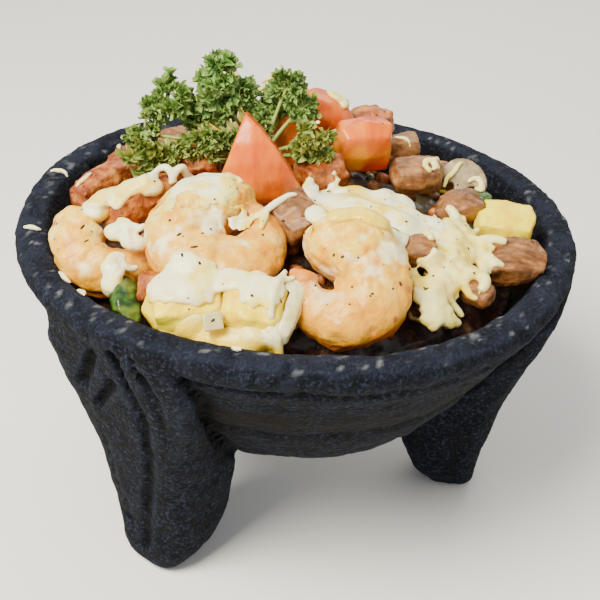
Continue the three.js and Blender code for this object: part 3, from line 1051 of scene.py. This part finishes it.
# How cheese lies. Each group has the nodes it stands for and the rounds of smoothing that melt it.
# pools: (x, y, half width, half depth, thickness) in millimetres, one melted mass each.
# shreds: (x, y, half width, half depth, count, length and thickness against the plain ones).
# strands: single runs through (x, y, height above what is below) in millimetres.
# lumps: (x, y, z, half width, half depth, half height) in millimetres, under the rest.
# white: how milky the group is; inset: how far its core lies below the shreds, in millimetres.
CHEESE = (
    {
        "name": "cheese_middle_melt",
        "white": 1.0,
        "nodes": ("cheese_middle",),
        "melt": 11,
        "pools": (
            (27, -34, 22, 17, 3.0),
            (46, -28, 12, 13, 2.6),
            (12, -46, 9, 11, 2.4),
            (26, -58, 14, 8, 2.8),
            (18, -18, 14, 8, 2.4),
        ),
        "shreds": ((28, -36, 22, 20, 22, 0.8, 0.9), (46, -16, 12, 9, 12, 0.8, 1.0)),
    },
    {
        "name": "cheese_right_melt",
        "white": 0.3,
        "nodes": ("cheese_right",),
        "inset": 3.2,
        "melt": 4,
        "pools": ((58, -36, 9, 7, 1.6),),
        "shreds": (
            (60, -36, 15, 11, 34, 1.0, 1.2),
            (53, -62, 13, 13, 40, 1.0, 1.3),
            (53, -77, 10, 9, 30, 0.8, 1.25),
            (66, -58, 8, 8, 9, 0.9, 1.1),
        ),
    },
    {
        "name": "cheese_back_melt",
        "white": 0.4,
        "nodes": ("cheese_back",),
        "melt": 7,
        "pools": ((-32, 32, 14, 10, 2.0), (-6, 42, 12, 9, 1.8), (24, 60, 9, 7, 1.6)),
        "shreds": ((-30, 30, 20, 14, 26, 1.0, 1.0), (-4, 42, 20, 14, 26, 1.0, 1.0)),
    },
    {
        "name": "cheese_left_melt",
        "white": 0.9,
        "melt": 4,
        "lumps": (
            (-78, -37, 146.5, 6, 5, 3.5),
            (-72, -32, 149.5, 7, 5, 3.5),
            (-64, -29, 152.5, 6, 4.5, 3.2),
            (-58, -29, 154.5, 5, 4, 3),
            (-67, -49, 145, 6, 5, 3.5),
            (-61, -54, 143.5, 5, 4, 3),
            (-67, -64, 138, 4, 5, 4),
            (-66, -70, 134, 4.5, 6, 4),
        ),
        "pools": (
            (-74, -33, 8, 5, 1.8),
            (-62, -29, 7, 4, 1.8),
        ),
        "shreds": (
            (-68, -31, 12, 5, 16, 0.6, 0.9),
            (-65, -51, 6, 5, 8, 0.5, 0.9),
            (-66, -68, 4, 7, 8, 0.6, 0.9),
        ),
        "strands": (
            ((-50, -28, 1), (-48, -25, 5), (-45, -22, 10), (-43, -20, 14), (-42, -19, 16)),
            ((-57, -26, 1), (-54, -24, 4), (-51, -25, 5), (-48, -27, 2)),
        ),
    },
    {
        "name": "cheese_on_prawn_melt",
        "white": 1.0,
        "melt": 7,
        "pools": (
            (-40, -44, 12, 9, 1.0),
            (-28, -48, 11, 9, 1.1),
            (-47, -54, 6, 8, 0.8),
        ),
        "shreds": ((-28, -46, 13, 9, 16, 0.5, 0.7),),
        "strands": (
            ((-17, -52, 0), (-12, -48, 0), (-8, -44, 0), (-4, -42, 0), (0, -41, 0)),
            ((-13, -58, 0), (-12, -52, 0), (-11, -47, 0)),
        ),
    },
    {
        "name": "cheese_front_melt",
        "white": 0.8,
        "melt": 7,
        "lumps": (
            (-43, -87, 131, 7, 6, 7),
            (-38, -81, 138, 8, 5, 4),
            (-13, -85, 136, 6, 5, 4),
            (-35, -90, 131, 7, 6, 8),
            (-28, -94, 126, 6, 6, 8),
            (-20, -95, 127, 7, 6, 8),
            (-13, -95, 130, 6, 6, 8),
            (-6, -93, 131, 4.5, 6, 10),
        ),
        "pools": (
            (-37, -83, 12, 7, 2.6),
            (-22, -82, 8, 4, 2.0),
            (-11, -87, 8, 7, 2.0),
        ),
        "shreds": ((-32, -82, 10, 6, 10, 0.5, 1.0), (-8, -86, 6, 8, 7, 0.6, 0.9)),
        "strands": (
            ((-3, -74, 1), (-5, -82, 1), (-7, -90, 1), (-7, -96, 0)),
            ((-8, -97, 0), (-3, -99, 0), (2, -98, 0), (6, -96, 0)),
        ),
    },
    {
        "name": "cheese_far_right_melt",
        "white": 0.4,
        "melt": 5,
        "pools": ((62, 2, 6, 5, 1.4), (30, 74, 8, 6, 1.6)),
        "shreds": (
            (66, 8, 12, 10, 12, 0.8, 0.8),
            (50, 34, 10, 10, 9, 0.9, 0.8),
            (36, 76, 9, 7, 8, 0.8, 0.8),
        ),
    },
)
CHEESE_GRAIN = 0.75 * MM
CORE_GRAIN = 1.5 * MM
SHRED_STEP = 2.0 * MM
SHRED_POINTS = 9
SHRED_LEAST = 4
# A shred ends where the heap falls away by more than this in one step, at the bowl's wall, or
# down beside the food.
STEEP_FALL = 2.6 * MM
CHEESE_REACH = 0.097
CHEESE_FLOOR = 0.115
# Spacing of a pool's balls, and how deep a plain core lies under its cheese, in millimetres.
POOL_STEP = 1.9
CORE_INSET = 0.7


def shred(sheet, draw, x, y, length, radius):
    """One soft shred laid over what is below it; it ends where the heap falls away."""
    heading = draw.uniform(0, 2 * math.pi)
    turn = draw.normal(0, 0.28)
    width = radius * draw.uniform(0.8, 1.2)
    path = []
    for _ in range(SHRED_POINTS):
        height = height_at(sheet, x, y) + 0.5 * radius
        if math.hypot(x, y) > CHEESE_REACH or height < CHEESE_FLOOR:
            break
        if path and abs(height - path[-1][2]) > STEEP_FALL * length:
            break
        path.append((x, y, height))
        x += math.cos(heading) * SHRED_STEP * length
        y += math.sin(heading) * SHRED_STEP * length
        heading += turn + draw.normal(0, 0.22)
    if len(path) < SHRED_LEAST:
        return None
    share = np.linspace(0, 1, len(path))
    return tube(path, width * (0.75 + 0.35 * np.sin(share * math.pi)))


def pool(sheet, shape, seed, cx, cy, wide, deep, thick):
    """One melted mass as many small balls in a patch with a torn outline."""
    parts = []
    points, faces = shape
    across = np.arange(-wide * 1.25, wide * 1.25, POOL_STEP)
    along = np.arange(-deep * 1.25, deep * 1.25, POOL_STEP)
    for dx, dy in itertools.product(across, along):
        x, y = (cx + dx) * MM, (cy + dy) * MM
        tear = noise(np.array([[x, y, 0]]), 7 * MM, seed)[0] * 0.45
        inside = 1 - math.hypot(dx / wide, dy / deep) + tear
        if inside <= 0:
            continue
        ahead = height_at(sheet, x, y - 2 * MM)
        beside = height_at(sheet, x + 2 * MM, y)
        here = height_at(sheet, x, y)
        if max(abs(ahead - here), abs(beside - here)) > 2.4 * STEEP_FALL:
            continue
        radius = thick * MM * min(1, 0.55 + 0.9 * inside)
        place = (x, y, here + 0.25 * radius)
        parts.append((points * (1.35 * radius, 1.35 * radius, radius) + place, faces))
    return parts


def strand(sheet, stops, radius):
    """A single run of cheese through given places."""
    stops = np.array(stops, float) * MM
    at = np.linspace(0, len(stops) - 1, 4 * len(stops))
    path = np.stack([np.interp(at, range(len(stops)), stops[:, k]) for k in range(3)], axis=1)
    for _ in range(2):
        path[1:-1] = (path[:-2] + 2 * path[1:-1] + path[2:]) / 4
    path[:, 2] += [height_at(sheet, x, y) + 0.4 * radius for x, y in path[:, :2]]
    share = np.linspace(0, 1, len(path))
    return tube(path, radius * (0.7 + 0.4 * np.sin(share * math.pi)))


class GRILL_OT_cheese(bpy.types.Operator):
    """Melted white cheese over the pieces: smooth masses, soft shreds and single strands"""

    bl_idname = "grill.cheese"
    bl_label = "Melted cheese"

    def execute(self, context):
        look = context.scene.grill_look
        ball_points, ball_faces = ball(3)
        cores, bounds = [], []
        for group in CHEESE:
            own = []
            for node in group.get("nodes", ()):
                core = even_skin(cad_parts[node].data, CORE_GRAIN, 3)
                points, faces = surface(core)
                bounds.append((points, faces))
                depth = group.get("inset", CORE_INSET) * MM
                own.append((points - normals_of(core) * depth, faces))
            for x, y, z, *half in group.get("lumps", ()):
                lump = (ball_points * half + (x, y, z)) * MM
                uneven = layered(lump, 7 * MM, 790, 2)[:, None] * 1.5 * MM
                own.append((lump + ball_points * uneven, ball_faces))
                bounds.append(own[-1])
            cores.append(own)
        food = [surface(o.data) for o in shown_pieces() if o.name != "stone_mortar"]
        tree = tree_of([*food, *bounds])
        sheet = drape(tree, 3)
        material = melted_cheese()
        shape = ball(1)
        for i, group in enumerate(CHEESE):
            draw = np.random.default_rng(700 + i)
            parts = list(cores[i])
            for place in group["pools"]:
                parts.extend(pool(sheet, shape, 760 + i, *place))
            for cx, cy, wide, deep, count, length, thick in group["shreds"]:
                for _ in range(count):
                    angle, reach = draw.uniform(0, 2 * math.pi), math.sqrt(draw.uniform(0, 1))
                    x = (cx + wide * reach * math.cos(angle)) * MM
                    y = (cy + deep * reach * math.sin(angle)) * MM
                    radius = look.shred_radius * thick
                    made = shred(sheet, draw, x, y, length, radius)
                    if made:
                        parts.append(made)
            for stops in group.get("strands", ()):
                parts.append(strand(sheet, stops, look.shred_radius))
            raw = mesh_from("raw cheese", *joined(parts))
            skin = even_skin(raw, CHEESE_GRAIN, group["melt"])
            points = push(skin, 0.4 * MM * layered(points_of(skin), 6 * MM, 720 + i, 2))
            out = normals_of(skin)
            low = sheet_depth(sheet, points)
            fat = ramp(layered(points, 12 * MM, 740 + i, 2), 0.2, 0.6) * 0.6
            fat = np.clip(fat + ramp(out[:, 2], 0.55, -0.1) * ramp(low, 0.4 * MM, -1 * MM), 0, 1)
            if group["name"] == "cheese_front_melt":
                low_end = ramp(points[:, 2] + 0.2 * points[:, 0], 0.134, 0.126)
                fat = np.clip(fat + low_end, 0, 1)
            if group["name"] == "cheese_middle_melt":
                wander = points[:, 1] + 0.008 * layered(points, 9 * MM, 750, 2)
                fat = np.maximum(fat, ramp(wander, -0.051, -0.06) * 0.9)
            edge = ramp(out[:, 2], 0.1, -0.3)
            milk = group["white"] * ramp(layered(points, 8 * MM, 780 + i, 2), -0.45, 0.05)
            milk *= 1 - fat
            gap = ramp(low, -1.0 * MM, -2.4 * MM) * ("inset" in group)
            masks = {"fat": fat, "edge": edge, "milk": milk, "gap": gap}
            piece(group["name"], skin, material, group.get("nodes", ()), masks)
        return {"FINISHED"}


def sheet_depth(sheet, points):
    """How far each point lies above the draped sheet."""
    u = np.clip(points[:, :2] / GRID_STEP + GRID_COUNT / 2, 0, GRID_COUNT - 1).astype(int)
    return points[:, 2] - sheet[u[:, 0], u[:, 1]]


# Loose shreds on the rim and the food: x, y, heading in degrees, length in millimetres.
LOOSE_SHREDS = (
    (-81, 32, 70, 8),
    (-101, 24, 130, 9),
    (-92, -3, 60, 9),
    (-94, 2, 150, 7),
    (-102, -26, 175, 8),
    (-83, -64, 150, 8),
    (-79, -69, 40, 7),
    (-76, -75, 100, 6),
    (-20, -105, 10, 4),
    (-17, -102, 60, 5),
    (-8, -98, 160, 6),
)


# Larger herb and pepper flecks: x, y, length in millimetres, turn in degrees.
HERB_MARKS = (
    (-27, -97, 2.0, 45),
    (-81, -47, 3.6, 30),
    (-36, -72, 3.6, 12),
    (-42, -68, 2.4, 40),
    (-40, -76, 2.2, 120),
    (-12, -60, 1.6, 80),
    (-5, -50, 1.6, 10),
    (-46, -62, 1.5, 0),
    (-31, -63, 1.3, 60),
    (-22, -58, 1.3, 20),
    (38, -82, 2.2, 100),
    (17, -78, 2.0, 40),
    (14, -76, 1.6, 80),
    (-4, -90, 1.6, 90),
    (-27, -91, 2.0, 70),
    (49, -70, 2.6, 60),
    (45, -80, 1.2, 0),
    (21, -84, 1.2, 0),
    (28, -88, 1.2, 0),
    (8, -80, 1.4, 10),
    (-14, -92, 1.6, 150),
)


# Flecks fall over a square this far to each side, and stay between the two heights.
FLECK_REACH = 0.1
FLECK_LOW = 0.138
FLECK_HIGH = 0.17
LOOSE_POINTS = 6
# A small flat square of onion on the cheese in front: place and size in millimetres.
ONION_TILE_PLACE = (-27, -96.5, 138)
ONION_TILE_SIZE = (7.0, 6.5, 1.8)
ONION_TILE_LEAN = 48
ONION_TILE_TURN = 12
BOX_FACES = [(0, 1, 3, 2), (4, 6, 7, 5), (0, 4, 5, 1), (2, 3, 7, 6), (0, 2, 6, 4), (1, 5, 7, 3)]


def onion_tile():
    """A square of onion, leaning toward the front."""
    corners = np.array(list(itertools.product((-0.5, 0.5), repeat=3))) * ONION_TILE_SIZE * MM
    lean = Matrix.Rotation(math.radians(ONION_TILE_LEAN), 3, "X")
    turn = Matrix.Rotation(math.radians(ONION_TILE_TURN), 3, "Z")
    corners = corners @ np.array(lean @ turn).T + np.array(ONION_TILE_PLACE) * MM
    return even_skin(mesh_from("tile", corners, BOX_FACES), 0.4 * MM, 3)


def loose_shred(tree, draw, x, y, heading, step):
    """A fallen shred that lies along what is below it, or nothing where that is too steep."""
    path = []
    for _ in range(LOOSE_POINTS):
        place, _ = drop(tree, x, y)
        height = place.z + 0.8 * MM
        if path and abs(height - path[-1][2]) > STEEP_FALL:
            break
        path.append((x, y, height))
        x += math.cos(heading) * step
        y += math.sin(heading) * step
        heading += draw.normal(0, 0.35)
    if len(path) < 3:
        return None
    share = np.linspace(0, math.pi, len(path))
    return tube(path, (0.5 + 0.65 * np.sin(share)) * MM)


def lay_flat(shape, place, normal, turn):
    """A small shape laid flat on a surface."""
    lie = normal.to_track_quat("Z", "Y").to_matrix() @ Matrix.Rotation(turn, 3, "Z")
    return shape @ np.array(lie).T + np.array(place)


class GRILL_OT_crumbs(bpy.types.Operator):
    """A tile of onion, loose cheese shreds and herb flecks on the rim and the food"""

    bl_idname = "grill.crumbs"
    bl_label = "Loose shreds and flecks"

    def execute(self, context):
        look = context.scene.grill_look
        mesh = onion_tile()
        masks = {"edge": np.ones(len(mesh.vertices))}
        piece("onion_tile", mesh, soft_onion(), (), masks)
        tree = tree_of([surface(o.data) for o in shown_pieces()])
        draw = np.random.default_rng(81)
        parts = []
        for x, y, degrees, length_mm in LOOSE_SHREDS:
            step = length_mm / (LOOSE_POINTS - 1) * MM
            made = loose_shred(tree, draw, x * MM, y * MM, math.radians(degrees), step)
            if made:
                parts.append(made)
        mesh = even_skin(mesh_from("loose", *joined(parts)), 0.5 * MM, 3)
        masks = {"milk": np.full(len(mesh.vertices), 0.7)}
        piece("cheese_crumbs", mesh, melted_cheese(), (), masks)

        shape, faces = ball(1)
        parts = []
        for x, y, long_mm, degrees in HERB_MARKS:
            place, normal = drop(tree, x * MM, y * MM)
            fleck = shape * np.array([long_mm / 2, 0.55, 0.4]) * MM
            parts.append((lay_flat(fleck, place, normal, math.radians(degrees)), faces))
        for _ in range(look.flecks):
            x, y = draw.uniform(-FLECK_REACH, FLECK_REACH, 2)
            place, normal = drop(tree, x, y)
            size = draw.uniform(0.25, 0.6) * MM
            long = draw.choice((1, 1.4, 3.5), p=(0.5, 0.35, 0.15))
            spin = draw.uniform(0, 2 * math.pi)
            if place is not None and FLECK_LOW <= place.z <= FLECK_HIGH:
                fleck = shape * (size * long, size, size * 0.5)
                parts.append((lay_flat(fleck, place, normal, spin), faces))
        piece("herb_flecks", mesh_from("flecks", *joined(parts)), dried_herb())
        return {"FINISHED"}


# ---- parsley ----

# Tufts of the sprig: centre in millimetres, size in millimetres, how yellow it is.
TUFTS = (
    ((-61, -4, 154), 20, 0.75),
    ((-64, 2, 163), 14, 0.4),
    ((-51, 8, 176), 19, 0.1),
    ((-60, 6, 173), 12, 0.15),
    ((-32, 7, 186), 21, 0.0),
    ((-36, 4, 174), 13, 0.1),
    ((-24, 7, 180), 13, 0.0),
    ((-7, 10, 183), 16, 0.1),
    ((0, 8, 176), 14, 0.15),
    ((4, -3, 165), 17, 0.8),
    ((8, -2, 158), 12, 0.7),
    ((-39, -5, 164), 15, 0.35),
    ((-48, -6, 158), 13, 0.6),
    ((-16, 6, 169), 12, 0.1),
    ((-28, 2, 162), 12, 0.35),
    ((-43, 8, 170), 13, 0.1),
    ((-18, 8, 177), 12, 0.05),
    ((-57, -5, 148), 14, 0.8),
    ((-34, 24, 170), 17, 0.1),
    ((-10, 26, 169), 16, 0.1),
)
SPRIG_ROOT = (-16, 0, 156)
SPRIGLETS = 11
FRILLS = 9
FRILL_COLUMNS = 12
FRILL_ROWS = 4
STALK_RADIUS = 0.45 * MM


def frill(centre, outward, size, draw):
    """One small ruffled leaf that fans out from a stalk's end, with its rim mask and a mask of
    painted shade in its folds.
    """
    side = np.cross(outward, draw.normal(0, 1, 3))
    side /= np.linalg.norm(side)
    face = np.cross(outward, side)
    across = np.linspace(-1, 1, FRILL_COLUMNS)[None, :]
    reach = np.linspace(0.1, 1, FRILL_ROWS)[:, None]
    waves, phase = draw.uniform(2.6, 3.8), draw.uniform(0, 6.3)
    angle = across * draw.uniform(0.8, 1.5)
    lobes = 1 + 0.3 * np.cos(across * math.pi * waves * 0.7 + phase)
    lobes = lobes + reach * 0.12 * draw.normal(0, 1, across.shape)
    out_by = reach * np.cos(angle) * size * lobes
    side_by = reach * np.sin(angle) * size * lobes
    ruffle = 0.38 * reach**1.3 * np.sin(across * math.pi * waves + phase)
    points = (
        centre
        + out_by[..., None] * outward
        + side_by[..., None] * side
        + ((ruffle - 0.3 * reach**2) * size)[..., None] * face
    )
    rim = np.broadcast_to(ramp(reach, 0.5, 1.0), ruffle.shape)
    # Painted shade: darker towards the leaf's base inside the tuft and in the hollows of its
    # ruffle.
    fold_shade = ramp(reach, 0.6, 0.1) * 0.8 + ramp(-ruffle / 0.38, 0.2, 0.9) * 0.5
    return points.reshape(-1, 3), rim.ravel(), np.clip(fold_shade, 0, 1).ravel()


def toward(direction):
    """A direction as a unit vector."""
    return direction / np.linalg.norm(direction)


class GRILL_OT_parsley(bpy.types.Operator):
    """A sprig of curly parsley: branching stems with small ruffled leaves"""

    bl_idname = "grill.parsley"
    bl_label = "Parsley sprig"

    def execute(self, context):
        draw = np.random.default_rng(91)
        leaf_faces = grid_faces(FRILL_ROWS, FRILL_COLUMNS, False)
        parts, rims, fold_shades, aged, stems = [], [], [], [], []
        root = np.array(SPRIG_ROOT) * MM
        for centre, size_mm, yellow in TUFTS:
            centre = np.array(centre) * MM
            size = size_mm * MM
            bend = (root + centre) / 2 + (0, 0, 3 * MM)
            share = np.linspace(0, 1, 10)[:, None]
            path = (1 - share) ** 2 * root + 2 * share * (1 - share) * bend + share**2 * centre
            stems.append(tube(path, np.linspace(1.1, 0.6, 10) * MM, 7))
            for _ in range(SPRIGLETS):
                outward = toward(draw.normal(0, 1, 3) * (1, 0.8, 1) + (0, 0, 0.25))
                end = centre + outward * size * draw.uniform(0.2, 0.42)
                stems.append(tube([centre, (centre + end) / 2, end], [STALK_RADIUS] * 3, 5))
                for _ in range(FRILLS):
                    spray = toward(outward + draw.normal(0, 0.75, 3))
                    middle = end + draw.normal(0, 0.045, 3) * size
                    leaf = size * draw.uniform(0.13, 0.24)
                    points, rim, fold_shade = frill(middle, spray, leaf, draw)
                    parts.append((points, leaf_faces))
                    rims.append(rim)
                    fold_shades.append(fold_shade)
                    aged.append(np.full(len(points), yellow * draw.uniform(0.2, 1.2)))
        mesh = mesh_from("parsley", *joined(parts))
        masks = {
            "rim": np.concatenate(rims),
            "fold_shade": np.concatenate(fold_shades),
            "aged": np.clip(np.concatenate(aged), 0, 1),
        }
        leaf = parsley_leaf()
        piece("parsley_leaves", mesh, leaf, ("parsley_sprig",), masks)
        mesh = mesh_from("parsley stems", *joined(stems))
        blank = np.zeros(len(mesh.vertices))
        masks = {"rim": blank + 1, "fold_shade": blank, "aged": blank + 0.3}
        piece("parsley_stems", mesh, leaf, (), masks)
        return {"FINISHED"}


# ---- stage ----

CAMERA_PLACE = (0.0, -0.4408, 0.3628)
CAMERA_PITCH = 31.86
CAMERA_YAW = -0.46
CAMERA_ROLL = 3.45
CAMERA_LENS = 70.8
LAMP_COLOUR = (1.0, 0.94, 0.76)
# Name, place, what it points at, width, power in watts.
LIGHTS = (
    ("key light", (-0.5, -0.5, 1.0), (0, 0, 0.1), 0.6, 35.0),
    ("fill light", (0.75, -0.6, 0.4), (0, 0, 0.1), 0.9, 1.5),
    ("back light", (0.2, 0.8, 0.8), (0, 0, 0.12), 0.8, 6.0),
)


class GRILL_OT_stage(bpy.types.Operator):
    """Pale floor, soft studio lights and the camera"""

    bl_idname = "grill.stage"
    bl_label = "Stage"

    def execute(self, context):
        scene = context.scene
        paper = bpy.data.materials.new("matt white studio paper")
        paper.use_nodes = True
        coat = paper.node_tree.nodes["Principled BSDF"]
        coat.inputs["Base Color"].default_value = linear("#f4f4f2")
        coat.inputs["Roughness"].default_value = 0.9
        floor = mesh_from("floor", [(-4, -4, 0), (4, -4, 0), (4, 4, 0), (-4, 4, 0)], [(0, 1, 2, 3)])
        floor.materials.append(paper)
        ground = bpy.data.objects.new("floor", floor)
        scene.collection.objects.link(ground)
        ground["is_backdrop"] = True

        sky = bpy.data.worlds.new("studio")
        sky.use_nodes = True
        sky.node_tree.nodes["Background"].inputs["Color"].default_value = linear("#f3f6fb")
        sky.node_tree.nodes["Background"].inputs["Strength"].default_value = 0.6
        scene.world = sky
        for name, place, aim, width, power in LIGHTS:
            lamp = bpy.data.lights.new(name, "AREA")
            lamp.size = width
            lamp.energy = power
            lamp.color = LAMP_COLOUR
            stand = bpy.data.objects.new(name, lamp)
            stand.location = place
            facing = Vector(aim) - Vector(place)
            stand.rotation_euler = facing.to_track_quat("-Z", "Y").to_euler()
            scene.collection.objects.link(stand)

        eye = bpy.data.cameras.new("camera")
        eye.lens = CAMERA_LENS
        eye.sensor_width = 36
        holder = bpy.data.objects.new("camera", eye)
        turn = Matrix.Rotation(math.radians(CAMERA_YAW), 4, "Z")
        turn = turn @ Matrix.Rotation(math.radians(90 - CAMERA_PITCH), 4, "X")
        turn = turn @ Matrix.Rotation(math.radians(CAMERA_ROLL), 4, "Z")
        holder.matrix_world = Matrix.Translation(CAMERA_PLACE) @ turn
        scene.collection.objects.link(holder)
        scene.camera = holder
        return {"FINISHED"}


# ---- sidebar and registration ----

STEPS = (
    GRILL_OT_mortar,
    GRILL_OT_beef,
    GRILL_OT_chicken,
    GRILL_OT_vegetables,
    GRILL_OT_prawns,
    GRILL_OT_tomato,
    GRILL_OT_filling,
    GRILL_OT_cheese,
    GRILL_OT_crumbs,
    GRILL_OT_parsley,
    GRILL_OT_stage,
)


class GRILL_PT_sidebar(bpy.types.Panel):
    """Lists the dish's settings and the steps that build it"""

    bl_label = "Mixed grill"
    bl_idname = "GRILL_PT_sidebar"
    bl_space_type = "VIEW_3D"
    bl_region_type = "UI"
    bl_category = "Mixed grill"

    def draw(self, context):
        look = context.scene.grill_look
        for name in look.__annotations__:
            self.layout.prop(look, name)
        for step in STEPS:
            self.layout.operator(step.bl_idname)


CLASSES = (GrillLook, *STEPS, GRILL_PT_sidebar)


def register():
    for each in CLASSES:
        bpy.utils.register_class(each)
    bpy.types.Scene.grill_look = bpy.props.PointerProperty(type=GrillLook)


def unregister():
    del bpy.types.Scene.grill_look
    for each in reversed(CLASSES):
        bpy.utils.unregister_class(each)


def main():
    register()
    for step in STEPS:
        group, name = step.bl_idname.split(".")
        getattr(getattr(bpy.ops, group), name)()


if __name__ == "__main__":
    main()
